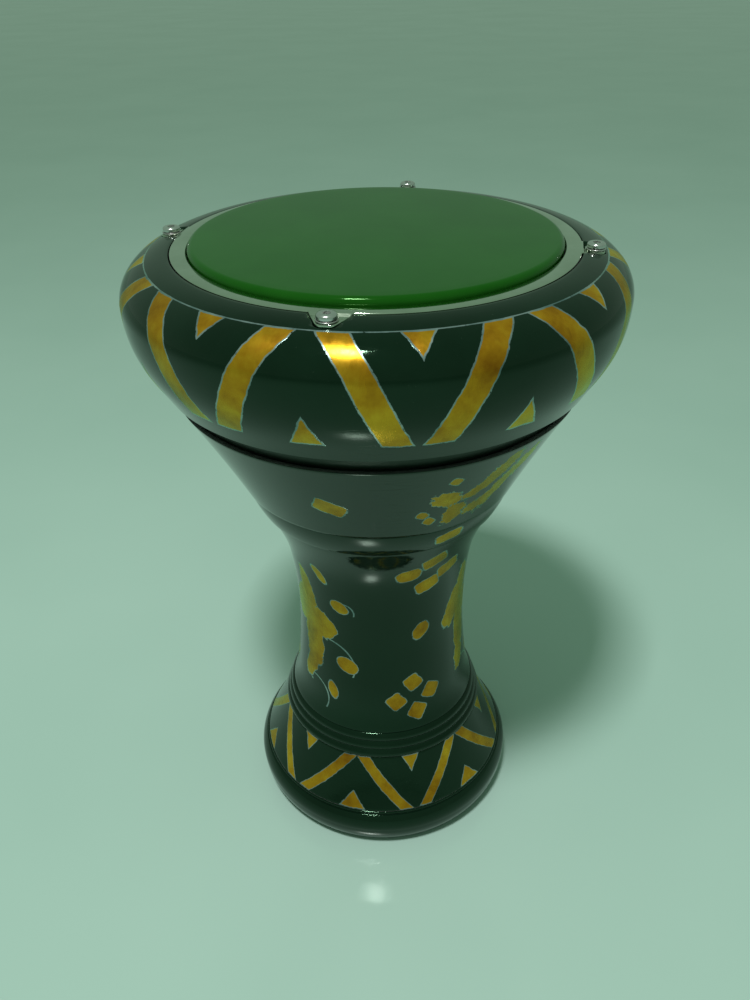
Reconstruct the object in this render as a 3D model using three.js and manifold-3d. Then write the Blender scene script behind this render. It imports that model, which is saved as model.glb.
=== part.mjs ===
// Goblet drum (darbuka): a painted cast-metal shell in turned sections, a thin head
// held by a four-eared tension ring, and four tuning bolts.
// Millimetres, +Z up, origin at the centre of the foot's resting face.
import * as THREE from 'three';
import { mergeVertices } from 'three/addons/utils/BufferGeometryUtils.js';
import Module from 'manifold-3d';

const wasm = await Module();
wasm.setup();

// ---- Shell: heights of the sections, from the foot up -------------------------
const footRimHeight = 33.5;
const footFlareHeight = 39.5;
const footCollarHeight = 19;
const neckHeight = 175.5;
const neckBeadHeight = 20.2;
const shoulderHeight = 67.5;
const couplingHeight = 11.8;
const bowlHeight = 73.4;

// ---- Shell: outer radii ---------------------------------------------------------
const footRestRadius = 91;
const footMaxRadius = 102.6;
const footRimTopRadius = 96.6;
const footFlareTopRadius = 78;
const neckBottomRadius = 71.5;
const neckWaistRadius = 62.4;
const neckTopRadius = 82.5;
const neckBeadBottomRadius = 84.5;
const neckBeadTopRadius = 92.8;

// ---- Shell: thicknesses and details ----------------------------------------------
const wall = 3.5;
const footRestWidth = 3.6;
const footMaxHeight = 18;
const footRimRound = 4;
const flareHollow = 1.2;
const collarRidges = 3;
const collarRidgeDepth = 1.3;
const neckLowRadius = 66.2;
const neckLowHeight = 22;
const neckWaistHeight = 80;
const neckHighRadius = 67.6;
const neckHighDrop = 38;
const beadBulge = 1.4;
const beadStep = 1.2;
const shoulderHollow = 1.6;
const couplingRecess = 4.5;
const spigotLength = 8;
const spigotWall = 2.5;
const bowlMaxHeight = 48.8;
const bowlOverhang = 24.4;
const bowlTaper = 16.9;
const shoulderTaper = 7;
const bowlFlare = 0.55;
const bowlBottomPull = 16;
const bowlTopPull = 24;
const crestRound = 32.9;
const crestWall = 8;
const crestChamfer = 0.8;

// ---- Head, bearing edge and the channel around it ---------------------------------
const headRadius = 110.9;
const headRise = 4.3;
const filmThickness = 0.5;
const headEdgeRound = 3.4;
const skirtDepth = 14;
const bearingWall = 3.8;
const bearingBaseWidth = 9;
const bearingBaseHeight = 3;
const channelDepth = 18.9;
const hoopWidth = 5;
const hoopHeight = 5;

// ---- Tension ring, ears and bolts ---------------------------------------------------
const ringWidth = 9.6;
const ringThickness = 2.8;
const ringLegWidth = 3.2;
const ringLegDepth = 2.1;
const ringEdge = 0.7;
const ringRise = 0.5;
const ringDownTravel = 1;
const boltOffset = 7.3;
const earRootWidth = 21.6;
const earTipWidth = 9;
const earReach = 5.2;
const earThickness = 2;
const earDrop = 1.5;
const earBend = 1.2;
const boltRadius = 2.9;
const boltLength = 29;
const boltHeadRadius = 5.3;
const boltHeadHeight = 3;
const boltHeadChamfer = 1.1;
const boltTipChamfer = 0.8;
const socketAcrossFlats = 4;
const socketDepth = 1.8;
const washerRadius = 5.7;
const washerThickness = 0.8;
const insertWall = 1.3;
const insertLength = 14;
const insertSink = 0.3;
const bossWall = 2.4;
const bossLength = 27;

// ---- Clearances ----------------------------------------------------------------------
const fit = 0.3;
const slideGap = 0.4;
const boltGap = 0.4;
const channelGap = 0.6;
const pocketGap = 0.8;

// ---- Facets -----------------------------------------------------------------------------
const turnSegments = 40;
const smallSegments = 16;
const curveSteps = 3;
const footRollSteps = 4;
const ridgeSteps = 3;
const neckSteps = 8;
const bowlSteps = 6;
const crestSteps = 5;
const crestInnerSteps = 4;
const earCornerSteps = 4;
const hexSides = 6;
const cutMargin = 5;
const mergeTolerance = 1e-4;

// ---- Levels worked out from the sizes above ------------------------------------------------
const rimTop = footRimHeight;
const flareTop = rimTop + footFlareHeight;
const collarTop = flareTop + footCollarHeight;
const neckTop = collarTop + neckHeight;
const beadTop = neckTop + neckBeadHeight;
const shoulderTop = beadTop + shoulderHeight;
const couplingTop = shoulderTop + couplingHeight;
const crest = couplingTop + bowlHeight;
const headTop = crest + headRise;
const skirtOuter = headRadius;
const skirtInner = skirtOuter - filmThickness;
const bearingOuter = skirtInner - fit;
const bearingInner = bearingOuter - bearingWall;
const channelFloor = crest - channelDepth;
const ringInner = skirtOuter + slideGap + fit;
const hoopInner = skirtOuter + slideGap;
const ringOuterRadius = ringInner + ringWidth;
const channelOuter = ringOuterRadius + channelGap;
const boltCircleRadius = ringOuterRadius + boltOffset;
const bowlMaxRadius = boltCircleRadius + bowlOverhang;
const bowlBottomRadius = bowlMaxRadius - bowlTaper;
const shoulderTopRadius = bowlBottomRadius - shoulderTaper;
const ringTop = crest + ringRise;
const ringBottom = ringTop - ringThickness;
const legBottom = ringBottom - ringLegDepth;
const hoopTop = legBottom - fit;
const earTop = ringTop - earDrop;
const earTip = boltCircleRadius + earReach;
const pocketFloor = earTop - earThickness - ringDownTravel - slideGap;
const insertInner = boltRadius + boltGap;
const insertOuter = insertInner + insertWall;
const bossBore = insertOuter + fit;
const bossRadius = bossBore + bossWall;

const black = { color: 0x0b1512, roughness: 0.16, metalness: 0.0 };
const blackDull = { color: 0x060a08, roughness: 0.45, metalness: 0.0 };
const silver = { color: 0xc9ccc8, roughness: 0.18, metalness: 1.0 };
const steel = { color: 0xa9aba8, roughness: 0.32, metalness: 1.0 };
const film = { color: 0x0d1a12, roughness: 0.12, metalness: 0.0 };
const hoopMetal = { color: 0x9a9c9a, roughness: 0.4, metalness: 1.0 };

const drum = new THREE.Group();

// A named mesh with its own material, placed in the drum's frame.
function addPart(name, geometry, look) {
  const mesh = new THREE.Mesh(geometry, new THREE.MeshStandardMaterial(look));
  mesh.name = name;
  drum.add(mesh);
  return mesh;
}

// A solid of revolution about +Z from a closed outline of [radius, height] points
// that runs up the outside and back down the inside.
function turned(outline, segments = turnSegments) {
  const points = outline.map(([radius, height]) => new THREE.Vector2(radius, height));
  const onAxis = outline[0][0] === 0;
  if (!onAxis) points.push(points[0].clone());
  const geometry = new THREE.LatheGeometry(points, segments);
  geometry.rotateX(Math.PI / 2);
  return geometry;
}

// Points along a quadratic curve between two [radius, height] ends; bend moves its
// middle control outwards, or inwards when negative.
function bowed(start, end, bend, steps) {
  const middle = new THREE.Vector2((start[0] + end[0]) / 2 + bend, (start[1] + end[1]) / 2);
  const curve = new THREE.QuadraticBezierCurve(
    new THREE.Vector2(...start), middle, new THREE.Vector2(...end));
  return curve.getPoints(steps).map((point) => [point.x, point.y]);
}

// Points along an elliptical quarter, from angle a to angle b in degrees.
function arc(centre, radiusAcross, radiusUp, a, b, steps) {
  const points = [];
  for (let i = 0; i <= steps; i += 1) {
    const angle = THREE.MathUtils.degToRad(a + ((b - a) * i) / steps);
    points.push([centre[0] + radiusAcross * Math.cos(angle), centre[1] + radiusUp * Math.sin(angle)]);
  }
  return points;
}

// The angle, in degrees, at which an elliptical quarter reaches a radius.
function angleAt(radius, centre, radiusAcross) {
  return THREE.MathUtils.radToDeg(Math.acos((radius - centre[0]) / radiusAcross));
}

// The same outline moved inwards by a wall and read downwards.
function insideOf(outside, thickness = wall) {
  return outside.map(([radius, height]) => [radius - thickness, height]).reverse();
}

function solid(geometry) {
  const bare = geometry.clone();
  bare.deleteAttribute('normal');
  bare.deleteAttribute('uv');
  const merged = mergeVertices(bare, mergeTolerance);
  return new wasm.Manifold(new wasm.Mesh({
    numProp: 3,
    vertProperties: merged.attributes.position.array,
    triVerts: Uint32Array.from(merged.index.array),
  }));
}

function geometryOf(manifold) {
  const mesh = manifold.getMesh();
  const geometry = new THREE.BufferGeometry();
  geometry.setAttribute('position', new THREE.BufferAttribute(mesh.vertProperties, 3));
  geometry.setIndex(new THREE.BufferAttribute(mesh.triVerts, 1));
  geometry.computeVertexNormals();
  return geometry;
}

// An upright cylinder between two heights, with its axis through (x, y).
function rod(radius, low, high, x = 0, y = 0, segments = smallSegments) {
  const geometry = new THREE.CylinderGeometry(radius, radius, high - low, segments);
  geometry.rotateX(Math.PI / 2);
  geometry.translate(x, y, (low + high) / 2);
  return geometry;
}

// The outer radius of a section at a height, between the points of its outside.
function radiusAt(outside, height) {
  for (let i = 1; i < outside.length; i += 1) {
    const [r0, z0] = outside[i - 1];
    const [r1, z1] = outside[i];
    if (height <= z1 || i === outside.length - 1) {
      return r0 + ((r1 - r0) * (height - z0)) / (z1 - z0);
    }
  }
  return outside[0][0];
}

// A section's outside ended below its full height, so that it clears the section above.
function endedAt(outside, height) {
  return [...outside.slice(0, -1), [radiusAt(outside, height), height]];
}

// The sleeve that plugs into the section above or below: its outer face at a height.
function spigotAt(outside, height) {
  return radiusAt(outside, height) - wall - fit;
}

// ---- Curved outsides of the sections --------------------------------------------------
const flareOutside = bowed(
  [footRimTopRadius, rimTop], [footFlareTopRadius, flareTop], -flareHollow, curveSteps);

const neckCurve = new THREE.SplineCurve([
  new THREE.Vector2(neckBottomRadius, collarTop),
  new THREE.Vector2(neckLowRadius, collarTop + neckLowHeight),
  new THREE.Vector2(neckWaistRadius, collarTop + neckWaistHeight),
  new THREE.Vector2(neckHighRadius, neckTop - neckHighDrop),
  new THREE.Vector2(neckTopRadius, neckTop),
]);
const neckOutside = neckCurve.getPoints(neckSteps).map((point) => [point.x, point.y]);

const beadOutside = bowed(
  [neckBeadBottomRadius, neckTop], [neckBeadTopRadius, beadTop], beadBulge, curveSteps);
const shoulderOutside = bowed(
  [neckBeadTopRadius + beadStep, beadTop], [shoulderTopRadius, shoulderTop], -shoulderHollow, curveSteps);

const bowlWaist = couplingTop + bowlMaxHeight;
const bowlCurve = new THREE.CubicBezierCurve(
  new THREE.Vector2(bowlBottomRadius, couplingTop),
  new THREE.Vector2(bowlBottomRadius + bowlFlare * bowlBottomPull, couplingTop + bowlBottomPull),
  new THREE.Vector2(bowlMaxRadius, bowlWaist - bowlTopPull),
  new THREE.Vector2(bowlMaxRadius, bowlWaist));
const bowlOutside = bowlCurve.getPoints(bowlSteps).map((point) => [point.x, point.y]);

// ---- Foot ---------------------------------------------------------------------------------
// Rolled rim that stands on a flat ring, with a lip that plugs up into the flare.
function footRim() {
  const roll = footMaxRadius - footRestRadius;
  const inner = footRestRadius - footRestWidth;
  const top = rimTop - fit;
  const lipTop = rimTop + spigotLength;
  const lipRoot = spigotAt(flareOutside, rimTop);
  const lipEnd = spigotAt(flareOutside, lipTop);
  return turned([
    ...arc([footRestRadius, footMaxHeight], roll, footMaxHeight, -90, 0, footRollSteps),
    ...bowed([footMaxRadius, footMaxHeight], [footRimTopRadius, top], footRimRound, curveSteps).slice(1),
    [lipRoot, top],
    [lipEnd, lipTop],
    [lipEnd - spigotWall, lipTop],
    [lipRoot - spigotWall, top],
    [inner, footMaxHeight],
    [inner, 0],
  ]);
}

function footFlare() {
  const outside = endedAt(flareOutside, flareTop - fit);
  return turned([...outside, ...insideOf(outside)]);
}

// A ring between two sections: its own outside, and a lip each way that plugs into them.
function couplingPiece(outside, below, above) {
  const low = outside[0][1];
  const high = outside[outside.length - 1][1];
  const lipLow = low - spigotLength;
  const lipHigh = high + fit + spigotLength;
  const rootLow = spigotAt(below, low - fit);
  const rootHigh = spigotAt(above, high + fit);
  const endLow = spigotAt(below, lipLow);
  const endHigh = spigotAt(above, lipHigh);
  return turned([
    ...outside,
    [rootHigh, high],
    [endHigh, lipHigh],
    [endHigh - spigotWall, lipHigh],
    [rootHigh - spigotWall, high],
    [rootLow - spigotWall, low],
    [endLow - spigotWall, lipLow],
    [endLow, lipLow],
    [rootLow, low],
  ]);
}

// Collar with half-round ridges between the flare and the neck.
function footCollar() {
  const outside = [];
  const steps = collarRidges * ridgeSteps;
  const height = footCollarHeight - fit;
  for (let i = 0; i <= steps; i += 1) {
    const share = i / steps;
    const base = THREE.MathUtils.lerp(footFlareTopRadius, neckBottomRadius, share);
    const bump = Math.abs(Math.sin(share * collarRidges * Math.PI));
    outside.push([base + collarRidgeDepth * bump, flareTop + height * share]);
  }
  return couplingPiece(outside, flareOutside, neckOutside);
}

// ---- Neck, bead and shoulder -----------------------------------------------------------------
function neckTube() {
  const outside = endedAt(neckOutside, neckTop - fit);
  return turned([...outside, ...insideOf(outside)]);
}

function neckBead() {
  const outside = endedAt(beadOutside, beadTop - fit);
  return couplingPiece(outside, neckOutside, shoulderOutside);
}

function shoulderCone() {
  const outside = endedAt(shoulderOutside, shoulderTop - fit);
  return turned([...outside, ...insideOf(outside)]);
}

// Recessed black band that couples the shoulder to the bowl.
function couplingRing() {
  return couplingPiece([
    [shoulderTopRadius - couplingRecess, shoulderTop],
    [bowlBottomRadius - couplingRecess, couplingTop - fit],
  ], shoulderOutside, bowlOutside);
}

// ---- Plan of the ears and their pockets ---------------------------------------------------------
// Upright block along +X with the ear's plan, narrowing outwards, grown all round by a gap.
function earPrism(grow, low, high) {
  const start = (ringInner + ringOuterRadius) / 2 - cutMargin;
  const rootHalf = earRootWidth / 2 + grow;
  const tipHalf = earTipWidth / 2 + grow;
  const tip = earTip + grow;
  const corner = earTipWidth / 4;
  const plan = new THREE.Shape();
  plan.moveTo(start, -rootHalf);
  plan.lineTo(ringOuterRadius, -rootHalf);
  plan.lineTo(tip - corner, -tipHalf - corner / 2);
  plan.quadraticCurveTo(tip, -tipHalf, tip, corner - tipHalf);
  plan.lineTo(tip, tipHalf - corner);
  plan.quadraticCurveTo(tip, tipHalf, tip - corner, tipHalf + corner / 2);
  plan.lineTo(ringOuterRadius, rootHalf);
  plan.lineTo(start, rootHalf);
  const block = new THREE.ExtrudeGeometry(plan, {
    depth: high - low, bevelEnabled: false, curveSegments: earCornerSteps });
  block.translate(0, 0, low);
  return solid(block);
}

// ---- Bowl ----------------------------------------------------------------------------------------
// Bowl wall that rolls over at the crest, drops as the channel's outer wall and ends in the
// shelf that carries the bearing edge; at each bolt a boss hangs under the crest and a
// pocket is sunk into it for the ear.
function bowl(boltPlaces, boltAngles) {
  const crestDrop = crest - bowlWaist;
  const crestCentre = [bowlMaxRadius - crestRound, bowlWaist];
  const skin = channelOuter + wall;
  const crestEdge = channelOuter + crestChamfer;
  const outerEnd = angleAt(crestEdge, crestCentre, crestRound);
  const innerStart = angleAt(skin, crestCentre, crestRound - wall);
  const outerArc = arc(crestCentre, crestRound, crestDrop, 0, outerEnd, crestSteps);
  const edgeTop = outerArc[crestSteps][1];
  const casting = turned([
    ...bowlOutside,
    ...outerArc.slice(1),
    [channelOuter, edgeTop - crestChamfer],
    [channelOuter, channelFloor],
    [bearingInner, channelFloor],
    [bearingInner, channelFloor - wall],
    [skin, channelFloor - wall],
    ...arc(crestCentre, crestRound - wall, crestDrop - crestWall, innerStart, 0, crestInnerSteps),
    ...insideOf(bowlOutside).slice(1),
  ]);
  let body = solid(casting);
  for (const [x, y] of boltPlaces) {
    body = body.add(solid(rod(bossRadius, crest - bossLength, crest - crestWall / 2, x, y)));
  }
  const pocket = earPrism(pocketGap, pocketFloor, crest + cutMargin);
  for (const angle of boltAngles) body = body.subtract(pocket.rotate([0, 0, angle]));
  for (const [x, y] of boltPlaces) {
    const low = crest - bossLength - cutMargin;
    body = body.subtract(solid(rod(bossBore, low, crest + cutMargin, x, y)));
  }
  return geometryOf(body);
}

// Threaded insert: a plain tube, drawn about its own axis with its top at height 0.
function threadedInsert() {
  return turned([
    [insertOuter, -insertLength],
    [insertOuter, 0],
    [insertInner, 0],
    [insertInner, -insertLength],
  ], smallSegments);
}

// ---- Bearing edge, head and hoop ------------------------------------------------------------------
const edgeCentre = [headRadius - headEdgeRound, headTop - headEdgeRound];

function bearingEdge() {
  const round = headEdgeRound - filmThickness - fit;
  const base = channelFloor + fit;
  return turned([
    [bearingInner + bearingBaseWidth, base],
    [bearingInner + bearingBaseWidth, base + bearingBaseHeight],
    [bearingOuter, base + bearingBaseHeight],
    ...arc(edgeCentre, round, round, 0, 90, curveSteps),
    [bearingInner, edgeCentre[1] + round],
    [bearingInner, base],
  ]);
}

// Thin head: flat across the top, rolled over the bearing edge into a short skirt.
function headFilm() {
  const innerRound = headEdgeRound - filmThickness;
  const skirtBottom = headTop - skirtDepth;
  return turned([
    [0, headTop - filmThickness],
    ...arc(edgeCentre, innerRound, innerRound, 90, 0, curveSteps),
    [skirtInner, skirtBottom],
    [skirtOuter, skirtBottom],
    ...arc(edgeCentre, headEdgeRound, headEdgeRound, 0, 90, curveSteps),
    [0, headTop],
  ]);
}

function fleshHoop() {
  return turned([
    [hoopInner + hoopWidth, hoopTop - hoopHeight],
    [hoopInner + hoopWidth, hoopTop],
    [hoopInner, hoopTop],
    [hoopInner, hoopTop - hoopHeight],
  ]);
}

// ---- Tension ring -----------------------------------------------------------------------------------
// One ear lying along +X: its side outline pulled across, trimmed to a plan that narrows outwards.
function ear() {
  const root = (ringInner + ringOuterRadius) / 2;
  const bend = boltCircleRadius - washerRadius - fit;
  const side = new THREE.Shape();
  side.moveTo(root, ringTop - earThickness);
  side.lineTo(bend - earBend, ringTop - earThickness);
  side.lineTo(bend, earTop - earThickness);
  side.lineTo(earTip, earTop - earThickness);
  side.lineTo(earTip, earTop - ringEdge);
  side.lineTo(earTip - ringEdge, earTop);
  side.lineTo(bend, earTop);
  side.lineTo(bend - earBend, ringTop);
  side.lineTo(root, ringTop);
  const strip = new THREE.ExtrudeGeometry(side, { depth: earRootWidth + cutMargin, bevelEnabled: false });
  strip.translate(0, 0, -(earRootWidth + cutMargin) / 2);
  strip.rotateX(Math.PI / 2);
  const low = ringBottom - earDrop - cutMargin;
  const high = ringTop + cutMargin;
  const seat = rod(insertInner, low, high, boltCircleRadius);
  return solid(strip).intersect(earPrism(0, low, high)).subtract(solid(seat));
}

// Flat ring with a leg that presses on the flesh hoop, and one ear at each bolt.
function tensionRing(boltAngles) {
  const band = turned([
    [ringInner + ringLegWidth, legBottom],
    [ringInner + ringLegWidth, ringBottom],
    [ringOuterRadius, ringBottom],
    [ringOuterRadius, ringTop - ringEdge],
    [ringOuterRadius - ringEdge, ringTop],
    [ringInner + ringEdge, ringTop],
    [ringInner, ringTop - ringEdge],
    [ringInner, legBottom],
  ]);
  let body = solid(band);
  for (const angle of boltAngles) body = body.add(ear().rotate([0, 0, angle]));
  return geometryOf(body);
}

// ---- Bolts and washers, drawn about their own axis with height 0 under the head ----------------------
function tuningBolt() {
  const blank = turned([
    [0, -boltLength],
    [boltRadius - boltTipChamfer, -boltLength],
    [boltRadius, boltTipChamfer - boltLength],
    [boltRadius, 0],
    [boltHeadRadius, 0],
    [boltHeadRadius, boltHeadHeight - boltHeadChamfer],
    [boltHeadRadius - boltHeadChamfer, boltHeadHeight],
    [0, boltHeadHeight],
  ], smallSegments);
  const key = rod(socketAcrossFlats / Math.sqrt(3), boltHeadHeight - socketDepth,
    boltHeadHeight + cutMargin, 0, 0, hexSides);
  return geometryOf(solid(blank).subtract(solid(key)));
}

function washer() {
  return turned([
    [washerRadius, 0],
    [washerRadius, washerThickness],
    [insertInner, washerThickness],
    [insertInner, 0],
  ], smallSegments);
}

// ---- The drum -------------------------------------------------------------------------------------------
const boltSides = [['right', 0], ['back', 90], ['left', 180], ['front', 270]];
const boltAngles = boltSides.map(([, angle]) => angle);
const boltPlaces = boltAngles.map((angle) => {
  const turn = THREE.MathUtils.degToRad(angle);
  return [boltCircleRadius * Math.cos(turn), boltCircleRadius * Math.sin(turn)];
});

addPart('foot_rim', footRim(), black);
addPart('foot_flare', footFlare(), black);
addPart('foot_collar', footCollar(), black);
addPart('neck_tube', neckTube(), black);
addPart('neck_bead', neckBead(), black);
addPart('shoulder_cone', shoulderCone(), black);
addPart('coupling_ring', couplingRing(), blackDull);
addPart('bowl', bowl(boltPlaces, boltAngles), black);
addPart('bearing_edge', bearingEdge(), steel);
addPart('head_film', headFilm(), film);
addPart('flesh_hoop', fleshHoop(), hoopMetal);
addPart('tension_ring', tensionRing(boltAngles), silver);

boltSides.forEach(([side], index) => {
  const [x, y] = boltPlaces[index];
  const washerLow = earTop + fit;
  const headLow = washerLow + washerThickness + fit;
  addPart(`thread_insert_${side}`, threadedInsert(), steel).position.set(x, y, pocketFloor - insertSink);
  addPart(`washer_${side}`, washer(), steel).position.set(x, y, washerLow);
  addPart(`tuning_bolt_${side}`, tuningBolt(), silver).position.set(x, y, headLow);
});

export default drum;
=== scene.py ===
import bpy
import bmesh
import math
from mathutils import Matrix, Vector


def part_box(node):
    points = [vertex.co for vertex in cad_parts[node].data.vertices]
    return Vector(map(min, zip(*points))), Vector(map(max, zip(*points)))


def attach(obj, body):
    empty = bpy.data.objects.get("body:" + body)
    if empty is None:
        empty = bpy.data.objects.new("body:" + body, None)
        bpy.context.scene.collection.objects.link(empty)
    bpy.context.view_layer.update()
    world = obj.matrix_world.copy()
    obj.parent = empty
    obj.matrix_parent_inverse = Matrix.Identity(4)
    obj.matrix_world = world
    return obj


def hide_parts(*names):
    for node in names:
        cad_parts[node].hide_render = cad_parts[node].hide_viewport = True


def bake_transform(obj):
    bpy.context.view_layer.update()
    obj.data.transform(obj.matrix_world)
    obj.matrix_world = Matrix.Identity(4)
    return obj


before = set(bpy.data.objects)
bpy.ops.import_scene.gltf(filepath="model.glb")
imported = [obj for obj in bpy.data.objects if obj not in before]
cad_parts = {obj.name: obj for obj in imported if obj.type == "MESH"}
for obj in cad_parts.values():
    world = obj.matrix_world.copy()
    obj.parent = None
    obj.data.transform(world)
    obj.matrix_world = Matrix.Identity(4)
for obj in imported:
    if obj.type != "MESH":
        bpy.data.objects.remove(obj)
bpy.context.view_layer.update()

# ---------------------------------------------------------------------------------------
# Sizes, in metres. The drum stands on the floor at the origin with its axis along +Z.
# ---------------------------------------------------------------------------------------
MM = 0.001
TURN_STEPS = 192
SMALL_STEPS = 48

WALL = 3.5 * MM
SEAM = 0.15 * MM
EDGE_ROUND = 0.5 * MM


def span(node):
    """Lowest and highest level of a CAD node, and its reach along +X."""
    low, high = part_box(node)
    return low.z, high.z, high.x


def centre_of(node):
    low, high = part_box(node)
    return (low + high) / 2


FOOT_LOW, _, FOOT_MAX = span("foot_rim")
FLARE_LOW, FLARE_HIGH, FLARE_BOTTOM = span("foot_flare")
NECK_LOW, NECK_HIGH, NECK_TOP = span("neck_tube")
SHOULDER_LOW, SHOULDER_HIGH, SHOULDER_TOP = span("shoulder_cone")
BOWL_LOW, _, BOWL_MAX = span("bowl")
HEAD_LOW, HEAD_TOP, HEAD_RADIUS = span("head_film")
EDGE_LOW, EDGE_HIGH, EDGE_BASE = span("bearing_edge")
HOOP_LOW, HOOP_HIGH, HOOP_OUTER = span("flesh_hoop")
LEG_LOW, RING_TOP, EAR_TIP = span("tension_ring")
INSERT_LOW, INSERT_HIGH, _ = span("thread_insert_right")
WASHER_LOW, WASHER_HIGH, _ = span("washer_right")
BOLT_LOW, BOLT_HIGH, _ = span("tuning_bolt_right")

# Foot
FOOT_REST = 91 * MM
FOOT_REST_WIDTH = 3.6 * MM
FOOT_MAX_HEIGHT = 18 * MM
RIM_ROUND = 4 * MM
RIM_GROOVE = 0.9 * MM
RIM_BEAD = 2.4 * MM
RIM_BEAD_SINK = 0.2 * MM
RIM_LIP_RISE = 7 * MM
RIM_LIP_TAPER = 1.5 * MM
RIM_LIP_WALL = 4 * MM
FLARE_TOP = 78 * MM
FLARE_HOLLOW = 1.2 * MM
COLLAR_RIDGES = 3
COLLAR_RIDGE_DEPTH = 1.3 * MM

# Neck, bead and shoulder
NECK_BOTTOM = 71.5 * MM
NECK_LOW_RADIUS = 66.2 * MM
NECK_LOW_HEIGHT = 22 * MM
NECK_WAIST = 62.4 * MM
NECK_WAIST_HEIGHT = 80 * MM
NECK_HIGH_RADIUS = 67.6 * MM
NECK_HIGH_DROP = 38 * MM
BEAD_BOTTOM = 84.5 * MM
BEAD_TOP = 92.8 * MM
BEAD_BULGE = 1.4 * MM
BEAD_STEP = 1.2 * MM
SHOULDER_HOLLOW = 1.6 * MM
BAND_RECESS = 4.5 * MM
LIP = 2.5 * MM
BEAD_EDGE_ROUND = 0.9 * MM
SHOULDER_EDGE_ROUND = 0.8 * MM

# Bowl
BOWL_MAX_HEIGHT = 48.8 * MM
BOWL_TAPER = 16.9 * MM
BOWL_FLARE = 0.55
BOWL_BOTTOM_PULL = 16 * MM
BOWL_TOP_PULL = 24 * MM
CREST_ROUND = 32.9 * MM
CREST_LEVEL = 440.4 * MM
CREST_WALL = 8 * MM
CREST_CORNER = 0.8 * MM
CHANNEL_GAP = 0.6 * MM
CHANNEL_DEPTH = 18.9 * MM
BEARING_WALL = 3.8 * MM
BEARING_SINK = 0.8 * MM
BEARING_FLANGE = 3 * MM
BEARING_EDGE_ROUND = 0.4 * MM
BOSS_LENGTH = 27 * MM
BOSS_WALL = 2.4 * MM
POCKET_GAP = 0.6 * MM
POCKET_DROP = 1.4 * MM

# Head, ring and bolts
FILM = 0.3 * MM
HEAD_ROUND = 3.4 * MM
SKIRT_START = 2 * MM
FLAT_MARGIN = 6 * MM
HOOP_GAP = 0.4 * MM
HOOP_EDGE_ROUND = 0.9 * MM
RING_INNER = HEAD_RADIUS + 0.7 * MM
RING_WIDTH = 9.6 * MM
RING_OUTER = RING_INNER + RING_WIDTH
RING_THICKNESS = 2.8 * MM
RING_LEG_WIDTH = 3.2 * MM
RING_ROUND = 0.8 * MM
EAR_ROOT_WIDTH = 21.6 * MM
EAR_TIP_WIDTH = 9 * MM
EAR_THICKNESS = 2 * MM
EAR_DROP = 1.5 * MM
EAR_SINK = 0.15 * MM
EAR_BEND = 1.2 * MM
EAR_CORNER = 2.2 * MM
EAR_SOFTNESS = 0.4 * MM
BOLT_CIRCLE = centre_of("tuning_bolt_right").x
BOLT_RADIUS = 2.9 * MM
BOLT_HEAD_RADIUS = 5.3 * MM
BOLT_HEAD_HEIGHT = 3 * MM
BOLT_HEAD_DOME = 1.5 * MM
THREAD_PITCH = 1 * MM
THREAD_DEPTH = 0.45 * MM
THREAD_CREST = (0.4, 0.6)
BOLT_TIP_CHAMFER = 0.8 * MM
PLAIN_SHANK = 2 * MM
BOLT_HEAD_EDGE = 0.3 * MM
HEAD_CROWN_RADIUS = 3 * MM
SOCKET_ACROSS_FLATS = 4 * MM
SOCKET_DEPTH = 1.8 * MM
SOCKET_SINK = 0.3 * MM
SOCKET_CONE = 0.6 * MM
WASHER_RADIUS = 5.7 * MM
HOLE_RADIUS = 3.3 * MM
INSERT_RADIUS = 4.6 * MM
INSERT_CHAMFER = 0.4 * MM
INSERT_MOUTH = 0.3 * MM
WASHER_EDGE_ROUND = 0.25 * MM

SIDES = (("right", 0), ("back", 90), ("left", 180), ("front", 270))


# ---------------------------------------------------------------------------------------
# Outlines: lists of (radius, height)
# ---------------------------------------------------------------------------------------
def weighted(weights, points):
    """The weighted sum of some points."""
    return tuple(sum(w * p[k] for w, p in zip(weights, points)) for k in (0, 1))


def bowed(start, end, bend, steps):
    """A quadratic curve whose middle control is moved outwards by bend."""
    middle = ((start[0] + end[0]) / 2 + bend, (start[1] + end[1]) / 2)
    shares = [i / steps for i in range(steps + 1)]
    return [weighted(((1 - t) ** 2, 2 * t * (1 - t), t * t), (start, middle, end)) for t in shares]


def cubic(start, pull_out, pull_in, end, steps):
    """A curve that leaves start towards pull_out and reaches end from pull_in."""
    points = (start, pull_out, pull_in, end)
    curve = []
    for i in range(steps + 1):
        t = i / steps
        weights = ((1 - t) ** 3, 3 * t * (1 - t) ** 2, 3 * t * t * (1 - t), t ** 3)
        curve.append(weighted(weights, points))
    return curve


def arc(centre, across, up, first, last, steps):
    """Part of an ellipse about centre, between two angles in degrees."""
    angles = [math.radians(first + (last - first) * i / steps) for i in range(steps + 1)]
    return [(centre[0] + across * math.cos(a), centre[1] + up * math.sin(a)) for a in angles]


def through(knots, steps):
    """A smooth curve through all the knots, with the same number of steps in each stretch."""
    points = [knots[0]]
    for i in range(len(knots) - 1):
        near = [knots[min(max(k, 0), len(knots) - 1)] for k in (i - 1, i, i + 1, i + 2)]
        for j in range(1, steps + 1):
            t = j / steps
            weights = ((-t + 2 * t * t - t ** 3) / 2, (2 - 5 * t * t + 3 * t ** 3) / 2,
                       (t + 4 * t * t - 3 * t ** 3) / 2, (t ** 3 - t * t) / 2)
            points.append(weighted(weights, near))
    return points


def inside_of(outside, thickness=WALL):
    """The outline of a wall's inner side, run backwards so that it closes the outer one."""
    return [(radius - thickness, height) for radius, height in reversed(outside)]


def angle_at(radius, centre, across):
    """The angle, in degrees, at which an elliptical quarter reaches a radius."""
    return math.degrees(math.acos((radius - centre[0]) / across))


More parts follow.
